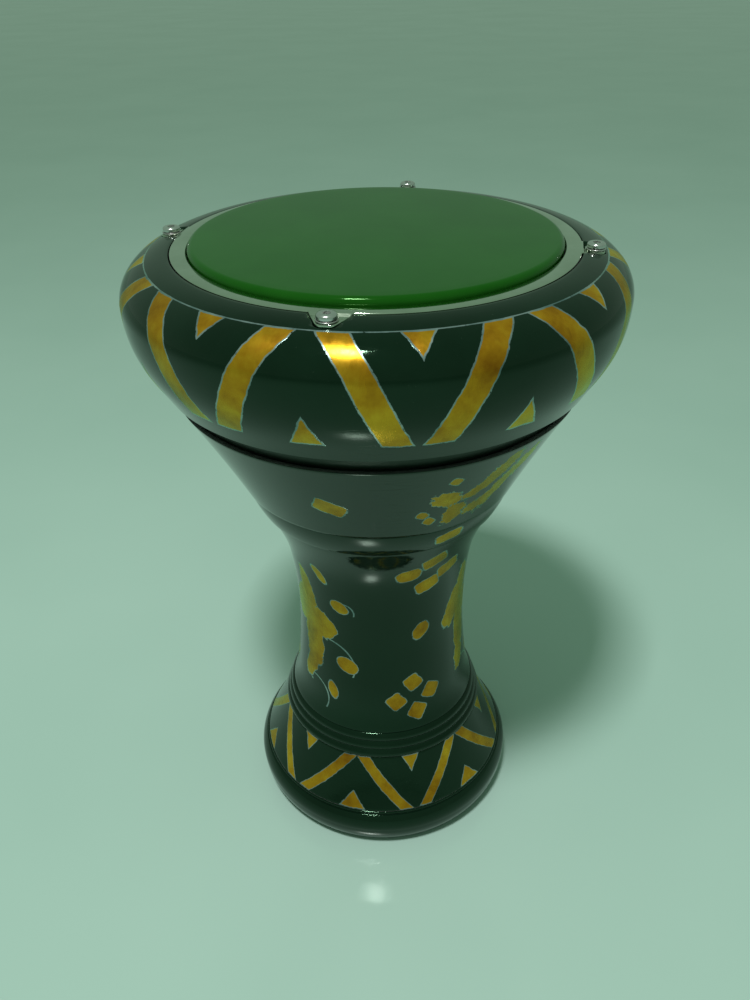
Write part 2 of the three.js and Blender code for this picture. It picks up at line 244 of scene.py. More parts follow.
def off_line(point, outline):
    """How far a point is from an outline."""
    nearest = 1.0
    for (r0, z0), (r1, z1) in zip(outline, outline[1:]):
        run, rise = r1 - r0, z1 - z0
        share = ((point[0] - r0) * run + (point[1] - z0) * rise) / max(run * run + rise * rise, 1e-12)
        share = min(max(share, 0), 1)
        nearest = min(nearest, math.hypot(r0 + run * share - point[0], z0 + rise * share - point[1]))
    return nearest


SHOULDER_BOTTOM = BEAD_TOP + BEAD_STEP
BOWL_BOTTOM = BOWL_MAX - BOWL_TAPER
BOWL_WAIST = BOWL_LOW + BOWL_MAX_HEIGHT
CREST_RISE = CREST_LEVEL - BOWL_WAIST
CREST_CENTRE = (BOWL_MAX - CREST_ROUND, BOWL_WAIST)
CHANNEL = RING_OUTER + CHANNEL_GAP
CREST_END = angle_at(CHANNEL + CREST_CORNER, CREST_CENTRE, CREST_ROUND)

flare_outside = bowed((FLARE_BOTTOM, FLARE_LOW), (FLARE_TOP, FLARE_HIGH + SEAM), -FLARE_HOLLOW, 24)
neck_outside = through(
    [
        (NECK_BOTTOM, NECK_LOW),
        (NECK_LOW_RADIUS, NECK_LOW + NECK_LOW_HEIGHT),
        (NECK_WAIST, NECK_LOW + NECK_WAIST_HEIGHT),
        (NECK_HIGH_RADIUS, NECK_HIGH - NECK_HIGH_DROP),
        (NECK_TOP, NECK_HIGH),
    ],
    14,
)
bead_outside = bowed(
    (BEAD_BOTTOM, NECK_HIGH + 2 * SEAM),
    (BEAD_TOP, SHOULDER_LOW - 2 * SEAM),
    BEAD_BULGE,
    16,
)
shoulder_outside = bowed(
    (SHOULDER_BOTTOM, SHOULDER_LOW),
    (SHOULDER_TOP, SHOULDER_HIGH),
    -SHOULDER_HOLLOW,
    30,
)
bowl_side = cubic(
    (BOWL_BOTTOM, BOWL_LOW),
    (BOWL_BOTTOM + BOWL_FLARE * BOWL_BOTTOM_PULL, BOWL_LOW + BOWL_BOTTOM_PULL),
    (BOWL_MAX, BOWL_WAIST - BOWL_TOP_PULL),
    (BOWL_MAX, BOWL_WAIST),
    32,
)
bowl_outside = bowl_side + arc(CREST_CENTRE, CREST_ROUND, CREST_RISE, 0, CREST_END, 32)[1:]


# ---------------------------------------------------------------------------------------
# Materials
# ---------------------------------------------------------------------------------------
class Finish:
    """A material's node tree, with short calls for the nodes that the finishes share."""

    def __init__(self, name):
        self.material = bpy.data.materials.new(name)
        self.material.use_nodes = True
        self.nodes = self.material.node_tree.nodes
        self.links = self.material.node_tree.links
        self.shader = self.nodes["Principled BSDF"]
        self.place = self.nodes.new("ShaderNodeTexCoord").outputs["Object"]

    def set(self, **values):
        for name, value in values.items():
            self.shader.inputs[name.replace("_", " ")].default_value = value
        return self

    def link(self, **sources):
        for name, source in sources.items():
            self.links.new(source, self.shader.inputs[name.replace("_", " ")])
        return self

    def stretched(self, scale, turn=(0, 0, 0)):
        node = self.nodes.new("ShaderNodeMapping")
        node.inputs["Scale"].default_value = scale
        node.inputs["Rotation"].default_value = turn
        self.links.new(self.place, node.inputs["Vector"])
        return node.outputs["Vector"]

    def noise(self, scale, detail=4.0, roughness=0.55, place=None):
        node = self.nodes.new("ShaderNodeTexNoise")
        node.inputs["Scale"].default_value = scale
        node.inputs["Detail"].default_value = detail
        node.inputs["Roughness"].default_value = roughness
        self.links.new(place or self.place, node.inputs["Vector"])
        return node.outputs["Fac"]

    def cell_edges(self, scale, place=None):
        node = self.nodes.new("ShaderNodeTexVoronoi")
        node.feature = "DISTANCE_TO_EDGE"
        node.inputs["Scale"].default_value = scale
        self.links.new(place or self.place, node.inputs["Vector"])
        return node.outputs["Distance"]

    def ramp(self, source, *stops):
        """Colours or greys at positions along source."""
        node = self.nodes.new("ShaderNodeValToRGB")
        elements = node.color_ramp.elements
        while len(elements) < len(stops):
            elements.new(0.5)
        for element, (position, colour) in zip(elements, stops):
            if isinstance(colour, (int, float)):
                colour = (colour, colour, colour)
            element.position = position
            element.color = (*colour, 1)
        self.links.new(source, node.inputs["Fac"])
        return node.outputs["Color"]

    def maths(self, operation, *values, clamp=False):
        node = self.nodes.new("ShaderNodeMath")
        node.operation = operation
        node.use_clamp = clamp
        for value, socket in zip(values, node.inputs):
            if isinstance(value, (int, float)):
                socket.default_value = value
            else:
                self.links.new(value, socket)
        return node.outputs["Value"]

    def least(self, *values):
        result = values[0]
        for value in values[1:]:
            result = self.maths("MINIMUM", result, value)
        return result

    def most(self, *values):
        result = values[0]
        for value in values[1:]:
            result = self.maths("MAXIMUM", result, value)
        return result

    def mix(self, factor, a, b):
        """Colour a turning to colour b by factor."""
        node = self.nodes.new("ShaderNodeMix")
        node.data_type = "RGBA"
        self.links.new(factor, node.inputs["Factor"])
        for value, socket in ((a, node.inputs[6]), (b, node.inputs[7])):
            if isinstance(value, tuple):
                socket.default_value = (*value, 1)
            else:
                self.links.new(value, socket)
        return node.outputs[2]

    def bump(self, height, strength, distance, below=None):
        node = self.nodes.new("ShaderNodeBump")
        node.inputs["Strength"].default_value = strength
        node.inputs["Distance"].default_value = distance
        self.links.new(height, node.inputs["Height"])
        if below is not None:
            self.links.new(below, node.inputs["Normal"])
        return node.outputs["Normal"]


# Black lacquer coloured green: a painted reflection of a green surrounding. The second colour also marks
# real smudges. The tint colours the lacquer's reflections green, also a painted reflection.
LACQUER_PAINTED_GREEN_REFLECTION = (0.0012, 0.0062, 0.0030)
LACQUER_SMUDGED_PAINTED_GREEN_REFLECTION = (0.0030, 0.0120, 0.0062)
LACQUER_PAINTED_REFLECTION_TINT = (0.55, 1.0, 0.66, 1.0)
LACQUER_GLOSS = 0.36
CLEAR_COAT_IOR = 1.5
BAND_DARK = (0.0012, 0.003, 0.002)
BAND_WORN = (0.003, 0.006, 0.004)
DUST = (0.07, 0.11, 0.08)
SILVER_DARK = (0.12, 0.20, 0.20)
SILVER_PALE = (0.36, 0.46, 0.44)
AMBER_DARK = (0.26, 0.10, 0.004)
AMBER = (0.44, 0.22, 0.008)
AMBER_PALE = (0.60, 0.38, 0.02)
AMBER_STROKE = (0.13, 0.055, 0.004)
CASTING_DARK = (0.16, 0.165, 0.165)
CASTING_PALE = (0.40, 0.41, 0.41)
# The head's black film is coloured green: a painted reflection of a green surrounding. The rubbed colour
# also marks real rub marks. The tint colours its reflections green, also a painted reflection.
FILM_PAINTED_GREEN_REFLECTION = (0.006, 0.062, 0.004)
FILM_RUBBED_PAINTED_GREEN_REFLECTION = (0.010, 0.080, 0.007)
FILM_PAINTED_REFLECTION_TINT = (0.45, 1.0, 0.38, 1.0)
FILM_GLOSS = 0.16


def lacquer_layers(f, dark=LACQUER_PAINTED_GREEN_REFLECTION, worn=LACQUER_SMUDGED_PAINTED_GREEN_REFLECTION, low=0.03, high=0.085):
    """Colour, roughness and normal of black lacquer with orange peel, hairlines, smudges and dust; its
    colours are tinted green as a painted reflection of a green surrounding.
    """
    smudges = f.noise(19, 5, 0.6)
    dust = f.ramp(f.noise(1100, 2, 0.5), (0.0, 0.0), (0.74, 0.0), (0.80, 0.35))
    colour = f.mix(dust, f.ramp(smudges, (0.3, dark), (0.75, worn)), DUST)
    hairlines = f.cell_edges(38, f.stretched((1.0, 1.0, 7.0), (0.5, 0.3, 0.0)))
    scratches = f.ramp(hairlines, (0.0, 1.0), (0.010, 0.0))
    faint = f.maths("MULTIPLY", scratches, f.ramp(smudges, (0.45, 0.0), (0.7, 0.14)))
    rough = f.maths("ADD", f.ramp(smudges, (0.35, low), (0.78, high)), faint, clamp=True)
    peel = f.bump(f.noise(360, 2, 0.5), 0.05, 0.0004)
    normal = f.bump(f.maths("MULTIPLY", faint, -1.0), 0.25, 0.0003, peel)
    return colour, rough, normal


def make_lacquer(name, **look):
    f = Finish(name)
    colour, rough, normal = lacquer_layers(f, **look)
    f.link(Base_Color=colour, Roughness=rough, Normal=normal)
    # Reflections tinted green: painted reflection.
    f.set(IOR=CLEAR_COAT_IOR, Specular_IOR_Level=LACQUER_GLOSS, Specular_Tint=LACQUER_PAINTED_REFLECTION_TINT)
    return f.material


class Paintwork(Finish):
    """Lacquer with a pattern brushed on it in gold, every shape edged with a silver line.

    Shapes are distances in millimetres from their edge, negative inside, in terms of the azimuth in
    degrees from the drum's front towards its right, the height and the radius in millimetres.
    """

    EDGE_BLUR = 0.35
    DRIFT = 1.6
    WOBBLE = 2.4
    METAL_SHARE = 0.72

    def __init__(self, name, line_width=0.55):
        super().__init__(name)
        self.line_width = line_width
        split = self.nodes.new("ShaderNodeSeparateXYZ")
        self.links.new(self.place, split.inputs["Vector"])
        x, y, z = (self.maths("MULTIPLY", split.outputs[k], 1000.0) for k in "XYZ")
        self.height = z
        squares = self.maths("ADD", self.maths("MULTIPLY", x, x), self.maths("MULTIPLY", y, y))
        self.radius = self.maths("SQRT", squares)
        turn = self.maths("ARCTAN2", x, self.maths("MULTIPLY", y, -1.0))
        drift = self.maths("MULTIPLY", self.maths("SUBTRACT", self.noise(9, 2, 0.5), 0.5), self.DRIFT)
        self.azimuth = self.maths("ADD", self.maths("DEGREES", turn), drift)
        self.width_of_degree = self.maths("MULTIPLY", self.radius, math.pi / 180)

    def from_nearest(self, first, period):
        """Degrees from the nearest of the azimuths first, first + period and so on."""
        return self.maths("PINGPONG", self.maths("SUBTRACT", self.azimuth, first), period / 2)

    def across(self, first, period):
        """Signed millimetres round the drum from the nearest of those azimuths."""
        offset = self.maths("SUBTRACT", self.azimuth, first)
        degrees = self.maths("WRAP", offset, period / 2, -period / 2)
        return self.maths("MULTIPLY", degrees, self.width_of_degree)

    def zigzag(self, level, top, folds, first, low_spread, high_spread, half_width, up, down):
        """Bands that fold round the drum between level 0 and top, with triangles between them.

        first is a fold's low point, and the spreads are how far the bands stand from a low point, in
        degrees, at the bottom and the top. up and down are (half base, height) of the triangles that
        stand on the bottom line and hang from the top line.
        """
        period = 360 / folds
        from_low = self.from_nearest(first, period)
        share = self.maths("DIVIDE", level, top)
        centre = self.maths("ADD", self.maths("MULTIPLY", share, high_spread - low_spread), low_spread)
        off_centre = self.maths("ABSOLUTE", self.maths("SUBTRACT", from_low, centre))
        aside = self.maths("MULTIPLY", off_centre, self.width_of_degree)
        band = self.maths("SUBTRACT", aside, half_width)
        from_high = self.maths("SUBTRACT", period / 2, from_low)
        hanging = self.triangle(from_low, self.maths("SUBTRACT", top, level), *down)
        standing = self.triangle(from_high, level, *up)
        shapes = self.least(band, hanging, standing)
        return self.most(shapes, self.maths("MULTIPLY", level, -1.0), self.maths("SUBTRACT", level, top))

    def triangle(self, degrees_off, rise, half_base, height):
        """A triangle that stands on its base where rise is 0."""
        slope = half_base / height
        side = self.maths("MULTIPLY", degrees_off, self.width_of_degree)
        room = self.maths("MULTIPLY", self.maths("SUBTRACT", height, rise), slope)
        return self.maths("MULTIPLY", self.maths("SUBTRACT", side, room), math.cos(math.atan(slope)))

    def blob(self, first, height, half_wide, half_tall, lean=0.0, square=0.0):
        """An oval, or with square near 1 a four-cornered petal, leaning by an angle in degrees."""
        side = self.across(first, REPEAT)
        rise = self.maths("SUBTRACT", self.height, height)
        cos, sin = math.cos(math.radians(lean)), math.sin(math.radians(lean))
        side_in_u = self.maths("MULTIPLY", side, cos / half_wide)
        rise_in_u = self.maths("MULTIPLY", rise, sin / half_wide)
        rise_in_v = self.maths("MULTIPLY", rise, cos / half_tall)
        side_in_v = self.maths("MULTIPLY", side, sin / half_tall)
        u = self.maths("ADD", side_in_u, rise_in_u)
        v = self.maths("SUBTRACT", rise_in_v, side_in_v)
        power = 2.0 + 4.0 * square
        powers = [self.maths("POWER", self.maths("ABSOLUTE", w), power) for w in (u, v)]
        reach = self.maths("POWER", self.maths("ADD", *powers), 1 / power)
        return self.maths("MULTIPLY", self.maths("SUBTRACT", reach, 1.0), min(half_wide, half_tall))

    def blobs(self, rows):
        return self.least(*[self.blob(*row) for row in rows])

    def finish(self, shapes, lines=None):
        """Brushes the shapes over the lacquer; lines are distances drawn in silver alone."""
        ragged = self.maths("SUBTRACT", self.noise(170, 3, 0.6), 0.5)
        wobble = self.maths("MULTIPLY", ragged, self.WOBBLE)
        distance = self.maths("ADD", shapes, wobble)
        blur = 1 / self.EDGE_BLUR
        gold = self.maths("MULTIPLY_ADD", distance, -blur, 0.5, clamp=True)
        outer = self.maths("SUBTRACT", distance, self.line_width)
        edged = self.maths("MULTIPLY_ADD", outer, -blur, 0.5, clamp=True)
        if lines is not None:
            drawn = self.maths("ADD", lines, self.maths("MULTIPLY", wobble, 0.3))
            drawn = self.maths("MULTIPLY_ADD", drawn, -blur, 0.5, clamp=True)
            edged = self.maths("MAXIMUM", edged, drawn)
        thin = self.ramp(self.noise(300, 3, 0.7), (0.30, 0.0), (0.42, 1.0))
        edged = self.maths("MULTIPLY", edged, thin)

        # Between the shapes, the lacquer keeps its green colour, a painted reflection.
        colour, rough, normal = lacquer_layers(self)
        tint = self.noise(32, 4, 0.65)
        silver = self.ramp(tint, (0.35, SILVER_DARK), (0.7, SILVER_PALE))
        amber = self.ramp(tint, (0.28, AMBER_DARK), (0.48, AMBER), (0.72, AMBER_PALE))
        strokes = self.noise(150, 3, 0.6, self.stretched((1.0, 1.0, 0.22)))
        amber = self.mix(self.ramp(strokes, (0.60, 0.0), (0.85, 0.5)), amber, AMBER_STROKE)
        self.link(Base_Color=self.mix(gold, self.mix(edged, colour, silver), amber))

        painted = self.maths("MAXIMUM", gold, edged)
        paint_rough = self.ramp(strokes, (0.3, 0.20), (0.75, 0.36))
        thickness = self.maths("ADD", self.maths("MULTIPLY", strokes, 0.35), 0.65)
        lift = self.maths("MULTIPLY", painted, thickness)
        self.link(Roughness=self.mix(painted, rough, paint_rough))
        self.link(Normal=self.bump(lift, 0.35, 0.0002, normal))
        self.link(Metallic=self.maths("MULTIPLY", painted, self.METAL_SHARE))
        # Reflections tinted green: painted reflection.
        self.set(IOR=CLEAR_COAT_IOR, Specular_IOR_Level=LACQUER_GLOSS, Specular_Tint=LACQUER_PAINTED_REFLECTION_TINT)
        return self.material


# The painted patterns, in millimetres and degrees
BOWL_PAINT_LOW = 380.0
BOWL_PAINT_RADIUS = 136.6
BOWL_PAINT_TOP = 436.9
BOWL_LINE_WIDTH = 0.95
CREST_LINE_RISE = 1.0
CREST_LINE_HALF_WIDTH = 0.45
FOOT_PAINT_RISE = 1.0
FOOT_PAINT_DROP = 0.5
REPEAT = 120
TENDRIL_HALF_WIDTH = 0.55

# (azimuth, height, half width, half height, lean, squareness)
LOWER_FLOWER = (
    (30.9, 133.5, 6.1, 6.4, 32, 1.0),
    (43.8, 121.0, 6.1, 6.4, -28, 1.0),
    (19.3, 118.0, 6.1, 6.4, 38, 1.0),
    (33.1, 106.5, 6.1, 6.4, -30, 1.0),
)
UPPER_FLOWER = (
    (40.0, 248.0, 8.6, 5.6, 24, 1.0),
    (52.1, 234.0, 8.6, 5.6, 20, 1.0),
    (26.1, 238.0, 8.6, 5.6, 12, 0.2),
    (38.7, 224.0, 8.6, 5.6, 18, 0.9),
)
NECK_OVALS = (
    (36.8, 180.5, 5.6, 8.0, -30, 0.0),
    (-16.8, 203.0, 7.0, 5.2, -28, 0.0),
    (-13.4, 148.5, 8.6, 6.4, -24, 0.0),
    (-23.9, 121.0, 4.0, 7.4, 20, 0.0),
    (-28.0, 229.0, 3.4, 8.6, 30, 0.0),
)
NECK_LEAVES = (
    (-44.0, 205.0, 7.0, 17.0, 12, 0.1),
    (-33.0, 179.0, 13.0, 11.0, -36, 0.1),
    (-42.0, 160.0, 10.0, 23.0, 4, 0.1),
    (-45.0, 133.0, 6.4, 12.0, -10, 0.1),
    (-54.0, 186.0, 9.0, 17.0, -20, 0.1),
)
SHOULDER_DASH = (-4.8, 318.0, 9.2, 5.8, -26, 1.0)
SHOULDER_CRUMBS = (
    (24.3, 309.0, 3.6, 3.0, -30, 0.3),
    (27.4, 302.0, 3.6, 3.0, -30, 0.3),
    (31.7, 339.0, 3.6, 3.0, -30, 0.3),
)
SHOULDER_LEAVES = (
    (31.5, 322.0, 11.0, 6.0, -24, 0.1),
    (35.5, 305.0, 6.0, 10.5, -14, 0.1),
    (42.0, 326.0, 15.0, 4.2, 32, 0.1),
    (47.0, 339.0, 6.0, 15.0, -34, 0.1),
    (50.5, 318.0, 5.4, 20.0, -26, 0.1),
    (44.0, 307.0, 8.0, 5.0, 30, 0.1),
    (56.0, 334.0, 5.5, 12.0, -30, 0.1),
)
BEAD_DASH = (39.5, 278.5, 9.0, 4.4, 12, 0.5)

# (azimuth, height, radius)
NECK_TENDRILS = ((-13.5, 199.5, 7.4), (-27.0, 146.0, 21.0), (-41.5, 108.0, 17.0))


def make_bowl_paint():
    """Eight gold zig-zags from the foot of the bowl to a silver line round its crest."""
    f = Paintwork("painted_bowl", line_width=BOWL_LINE_WIDTH)
    inward = f.maths("SUBTRACT", BOWL_MAX / MM, f.radius)
    over_crest = f.maths("MULTIPLY", inward, f.maths("GREATER_THAN", f.height, BOWL_WAIST / MM))
    level = f.maths("ADD", f.maths("SUBTRACT", f.height, BOWL_PAINT_LOW), over_crest)
    top = BOWL_PAINT_TOP - BOWL_PAINT_LOW + BOWL_MAX / MM - BOWL_PAINT_RADIUS
    shapes = f.zigzag(
        level,
        top,
        folds=8,
        first=18.9,
        low_spread=4.3,
        high_spread=17.0,
        half_width=7.6,
        up=(8.2, 17.0),
        down=(7.8, 19.0),
    )
    off_line_level = f.maths("ABSOLUTE", f.maths("SUBTRACT", level, top + CREST_LINE_RISE))
    return f.finish(shapes, f.maths("SUBTRACT", off_line_level, CREST_LINE_HALF_WIDTH))


def make_foot_paint():
    """Six gold zig-zags round the flared foot."""
    f = Paintwork("painted_foot")
    low, high = FLARE_LOW / MM + FOOT_PAINT_RISE, FLARE_HIGH / MM - FOOT_PAINT_DROP
    shapes = f.zigzag(
        f.maths("SUBTRACT", f.height, low),
        high - low,
        folds=6,
        first=25.5,
        low_spread=4.7,
        high_spread=26.0,
        half_width=4.6,
        up=(9.5, 11.5),
        down=(6.0, 11.0),
    )
    return f.finish(shapes)


def torn(f, leaves, scale, detail_strength, middle, depth):
    """Leaves that grow together, with their outline torn by noise."""
    ragged = f.maths("SUBTRACT", f.noise(scale, 4, detail_strength), middle)
    return f.maths("ADD", f.blobs(leaves), f.maths("MULTIPLY", ragged, depth))


def make_neck_paint():
    """Petals, leaves and tendrils, three times round the neck."""
    f = Paintwork("painted_neck")
    whole = f.blobs(LOWER_FLOWER + UPPER_FLOWER + NECK_OVALS)
    tendrils = []
    for first, height, size in NECK_TENDRILS:
        loop = f.maths("ABSOLUTE", f.blob(first, height, size, size))
        loop = f.maths("SUBTRACT", loop, TENDRIL_HALF_WIDTH)
        right = f.maths("MULTIPLY", f.across(first, REPEAT), -1)
        above = f.maths("SUBTRACT", height - 0.35 * size, f.height)
        tendrils.append(f.most(loop, right, above))
    cluster = torn(f, NECK_LEAVES, 95, 0.65, 0.52, 9.0)
    return f.finish(f.least(whole, cluster), f.least(*tendrils))


def make_shoulder_paint():
    """One leaning dash and one broken leafy spray, three times round the shoulder."""
    f = Paintwork("painted_shoulder")
    whole = f.blobs((SHOULDER_DASH,) + SHOULDER_CRUMBS)
    spray = torn(f, SHOULDER_LEAVES, 120, 0.7, 0.5, 13.0)
    return f.finish(f.least(whole, spray))


def make_bead_paint():
    """A slanting dash on the bead under each spray."""
    f = Paintwork("painted_bead")
    return f.finish(f.blob(*BEAD_DASH))


def make_polished(name, bright, dull, low=0.05, high=0.20):
    """Polished or plated metal: fine hairlines, fingerprints and a few duller patches."""
    f = Finish(name)
    patches = f.noise(30, 5, 0.65)
    hair = f.noise(420, 2, 0.5, f.stretched((1.0, 1.0, 9.0)))
    worn = f.ramp(patches, (0.35, low), (0.75, high))
    scored = f.ramp(hair, (0.5, 0.0), (0.9, 0.08))
    f.link(Roughness=f.maths("ADD", worn, scored))
    f.link(Base_Color=f.ramp(patches, (0.35, bright), (0.8, dull)))
    f.link(Normal=f.bump(hair, 0.04, 0.0002, f.bump(patches, 0.05, 0.0008)))
    f.set(Metallic=1.0)
    return f.material


def make_casting():
    """Bare cast aluminium inside the shell: grainy, dull grey, with darker stains."""
    f = Finish("raw_casting")
    stains = f.noise(22, 6, 0.65)
    grain = f.noise(700, 4, 0.7)
    f.link(Base_Color=f.ramp(stains, (0.3, CASTING_DARK), (0.75, CASTING_PALE)))
    f.link(Roughness=f.ramp(grain, (0.3, 0.42), (0.75, 0.7)))
    f.link(Normal=f.bump(grain, 0.35, 0.0006, f.bump(f.noise(90, 3, 0.6), 0.3, 0.002)))
    f.set(Metallic=0.9)
    return f.material


def make_film():
    """Black polyester film, coloured green as a painted reflection of a green surrounding: glossy, with
    soft rub marks and a few faint scuffs.
    """
    f = Finish("black_film_painted_green_reflection")
    rubs = f.noise(14, 5, 0.6)
    f.link(Base_Color=f.ramp(rubs, (0.35, FILM_PAINTED_GREEN_REFLECTION), (0.8, FILM_RUBBED_PAINTED_GREEN_REFLECTION)))
    streaks = f.noise(70, 4, 0.7, f.stretched((1.0, 3.0, 1.0), (0, 0, 0.5)))
    scuffs = f.ramp(streaks, (0.66, 0.0), (0.8, 0.10))
    f.link(Roughness=f.maths("ADD", f.ramp(rubs, (0.3, 0.05), (0.75, 0.12)), scuffs))
    slack = f.bump(f.noise(9, 2, 0.5), 0.10, 0.002)
    f.link(Normal=f.bump(f.noise(1200, 2, 0.5), 0.02, 0.0002, slack))
    # Reflections tinted green: painted reflection.
    f.set(IOR=CLEAR_COAT_IOR, Specular_IOR_Level=FILM_GLOSS, Specular_Tint=FILM_PAINTED_REFLECTION_TINT)
    return f.material


# The shell's black lacquer, coloured green as a painted reflection.
LACQUER = make_lacquer("black_lacquer_painted_green_reflection")
DULL_LACQUER = make_lacquer("dull_lacquer", dark=BAND_DARK, worn=BAND_WORN, low=0.35, high=0.5)
BOWL_PAINT = make_bowl_paint()
FOOT_PAINT = make_foot_paint()
NECK_PAINT = make_neck_paint()
SHOULDER_PAINT = make_shoulder_paint()
BEAD_PAINT = make_bead_paint()
# The tension ring's plating is tinted green, a painted reflection of a green surrounding; its two tones
# vary at random in patches.
PLATED_RING = make_polished("plated_ring_painted_green_reflection", (0.60, 0.68, 0.56), (0.44, 0.52, 0.40), 0.04, 0.14)
PLATED_BOLT = make_polished("plated_bolt", (0.74, 0.75, 0.73), (0.54, 0.55, 0.53), 0.12, 0.30)
TURNED_STEEL = make_polished("turned_steel", (0.60, 0.60, 0.58), (0.42, 0.42, 0.40), 0.25, 0.45)
HOOP_METAL = make_polished("hoop_aluminium", (0.66, 0.67, 0.66), (0.48, 0.49, 0.48), 0.3, 0.5)
CASTING = make_casting()
BLACK_FILM = make_film()


# ---------------------------------------------------------------------------------------
# Making pieces
# ---------------------------------------------------------------------------------------
SMOOTH_ANGLE = 32
TINY = 1e-7
MERGE_GAP = 1e-6
NEAR_AXIS = 1e-9
WHOLE_TURN = 2 * math.pi


def to_object(bm, name, *materials):
    """Turns a bmesh into an object at the origin, smooth but for its sharp edges."""
    for face in bm.faces:
        face.smooth = True
    for edge in bm.edges:
        if len(edge.link_faces) == 2 and edge.calc_face_angle(0) > math.radians(SMOOTH_ANGLE):
            edge.smooth = False
    mesh = bpy.data.meshes.new(name)
    bm.to_mesh(mesh)
    bm.free()
    for material in materials:
        mesh.materials.append(material)
    piece = bpy.data.objects.new(name, mesh)
    bpy.context.scene.collection.objects.link(piece)
    return piece


def set_out(piece, body, slot, *nodes):
    """Puts a finished piece on its body, in the place of its CAD nodes."""
    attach(piece, body)
    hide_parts(*nodes)


def spun(bm, outline, steps=TURN_STEPS, round_off=EDGE_ROUND, corner=28):
    """Spins a closed outline, or one that starts and ends on the axis, and rounds its corners."""
    on_axis = outline[0][0] < TINY
    verts = [bm.verts.new((radius, 0, height)) for radius, height in outline]
    pairs = list(zip(verts, verts[1:]))
    if not on_axis:
        pairs.append((verts[-1], verts[0]))
    for pair in pairs:
        bm.edges.new(pair)
    corners = []
    for vert in verts:
        if round_off and len(vert.link_edges) == 2:
            a, b = (edge.other_vert(vert).co - vert.co for edge in vert.link_edges)
            if math.degrees(a.angle(-b)) > corner:
                corners.append(vert)
    if corners:
        bmesh.ops.bevel(bm, geom=corners, offset=round_off, offset_type="OFFSET", affect="VERTICES",
                        segments=3, profile=0.5, material=-1, clamp_overlap=True)
    wire = [v for v in bm.verts if not v.link_faces] + [e for e in bm.edges if not e.link_faces]
    bmesh.ops.spin(bm, geom=wire, cent=(0, 0, 0), axis=(0, 0, 1), angle=WHOLE_TURN, steps=steps,
                   use_merge=True)
    bmesh.ops.remove_doubles(bm, verts=bm.verts, dist=MERGE_GAP)
    bmesh.ops.recalc_face_normals(bm, faces=bm.faces)


def finish_skins(bm, outside):
    """Gives the faces away from the outside outline the second material, the bare casting."""
    skins = {}
    for face in bm.faces:
        middle = face.calc_center_median()
        point = (round(math.hypot(middle.x, middle.y), 5), round(middle.z, 5))
        if point not in skins:
            skins[point] = 0 if off_line(point, outside) < EDGE_ROUND else 1
        face.material_index = skins[point]


def turned(name, outline, materials, outside=None, round_off=EDGE_ROUND):
    """A piece turned from an outline, with the last material on all but its outside."""
    bm = bmesh.new()
    spun(bm, outline, TURN_STEPS, round_off)
    if outside:
        finish_skins(bm, outside)
    return to_object(bm, name, *materials)


def combined(base, tool, operation):
    """Joins a tool to a piece, or cuts it out, and leaves one plain mesh."""
    modifier = base.modifiers.new("combine", "BOOLEAN")
    modifier.operation = operation
    modifier.solver = "EXACT"
    modifier.object = tool
    finished = bpy.data.meshes.new_from_object(base.evaluated_get(bpy.context.evaluated_depsgraph_get()))
    base.modifiers.clear()
    spent = base.data
    base.data = finished
    finished.name = spent.name
    bpy.data.meshes.remove(spent)
    bpy.data.objects.remove(tool)


def rods(name, radius, low, high, steps=SMALL_STEPS):
    """Four upright rods, one on each bolt's axis."""
    bm = bmesh.new()
    outwards = Matrix.Translation((BOLT_CIRCLE, 0, (low + high) / 2))
    for _, angle in SIDES:
        place = Matrix.Rotation(math.radians(angle), 4, "Z") @ outwards
        bmesh.ops.create_cone(bm, cap_ends=True, segments=steps, radius1=radius, radius2=radius,
                              depth=high - low, matrix=place)
    return to_object(bm, name)


def ears(name, grow, low, high, drop=0, soft=0):
    """Four blocks on the bolts' axes that narrow outwards.

    grow widens them all round, drop steps them down under the washers, and soft rounds their rims.
    """
    bm = bmesh.new()
    root = RING_INNER + RING_WIDTH / 2
    tip = EAR_TIP + grow
    bend = BOLT_CIRCLE - WASHER_RADIUS - 2 * SEAM
    root_half, tip_half = EAR_ROOT_WIDTH / 2 + grow, EAR_TIP_WIDTH / 2 + grow
    bmesh.ops.create_grid(bm, x_segments=1, y_segments=1, size=0.5)
    bmesh.ops.scale(bm, verts=bm.verts, vec=(tip - root, 2 * root_half, 1))
    bmesh.ops.translate(bm, verts=bm.verts, vec=((tip + root) / 2, 0, low))
    for cut in (RING_OUTER, bend - EAR_BEND, bend):
        bmesh.ops.bisect_plane(bm, geom=bm.verts[:] + bm.edges[:] + bm.faces[:], plane_co=(cut, 0, 0),
                               plane_no=(1, 0, 0))
    for vert in bm.verts:
        out = max(vert.co.x - RING_OUTER, 0) / (tip - RING_OUTER)
        vert.co.y *= 1 + (tip_half / root_half - 1) * out
        vert.co.z -= drop if vert.co.x > bend - MERGE_GAP else EAR_SINK * bool(drop)
    corners = [v for v in bm.verts if v.co.x > tip - MERGE_GAP]
    bmesh.ops.bevel(bm, geom=corners, offset=EAR_CORNER, offset_type="OFFSET", affect="VERTICES",
                    segments=6, profile=0.5, material=-1)
    top = bmesh.ops.extrude_face_region(bm, geom=bm.faces[:])
    risen = [item for item in top["geom"] if isinstance(item, bmesh.types.BMVert)]
    bmesh.ops.translate(bm, verts=risen, vec=(0, 0, high - low))
    bmesh.ops.recalc_face_normals(bm, faces=bm.faces)
    if soft:
        rims = [e for e in bm.edges if e.calc_face_angle(0) > math.radians(50)]
        bmesh.ops.bevel(bm, geom=rims, offset=soft, offset_type="OFFSET", affect="EDGES",
                        segments=3, profile=0.5, material=-1, clamp_overlap=True)
    first = bm.verts[:] + bm.edges[:] + bm.faces[:]
    for _, angle in SIDES[1:]:
        copy = bmesh.ops.duplicate(bm, geom=first)["geom"]
        verts = [item for item in copy if isinstance(item, bmesh.types.BMVert)]
        turn = Matrix.Rotation(math.radians(angle), 3, "Z")
        bmesh.ops.rotate(bm, verts=verts, cent=(0, 0, 0), matrix=turn)
    return to_object(bm, name)


